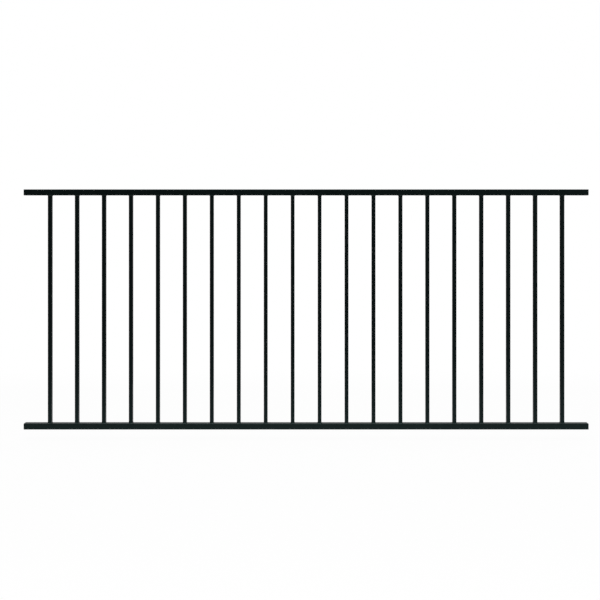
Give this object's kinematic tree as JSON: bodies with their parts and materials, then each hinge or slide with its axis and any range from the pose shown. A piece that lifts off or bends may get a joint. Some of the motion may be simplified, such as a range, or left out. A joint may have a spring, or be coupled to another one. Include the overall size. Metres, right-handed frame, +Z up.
{
  "type": "deck railing section",
  "caption": "Straight deck railing section in satin black steel: slim square pickets set upright between a tubular top rail and bottom rail, fixed to posts at the rail ends.",
  "frame": {"origin": "centre of the bottom rail's left end face, where the section meets its post", "axes": "+X along the rails to the right, +Y through the depth to the far side, +Z up"},
  "size_m": [2.3876, 0.0254, 1.016],
  "materials": {
    "black_powder_coat": "satin"
  },
  "bodies": {
    "root": {"bottom_rail": "black_powder_coat", "top_rail": "black_powder_coat", "picket_01": "black_powder_coat", "picket_02": "black_powder_coat", "picket_03": "black_powder_coat", "picket_04": "black_powder_coat", "picket_05": "black_powder_coat", "picket_06": "black_powder_coat", "picket_07": "black_powder_coat", "picket_08": "black_powder_coat", "picket_09": "black_powder_coat", "picket_10": "black_powder_coat", "picket_11": "black_powder_coat", "picket_12": "black_powder_coat", "picket_13": "black_powder_coat", "picket_14": "black_powder_coat", "picket_15": "black_powder_coat", "picket_16": "black_powder_coat", "picket_17": "black_powder_coat", "picket_18": "black_powder_coat", "picket_19": "black_powder_coat", "picket_20": "black_powder_coat"}
  },
  "joints": []
}
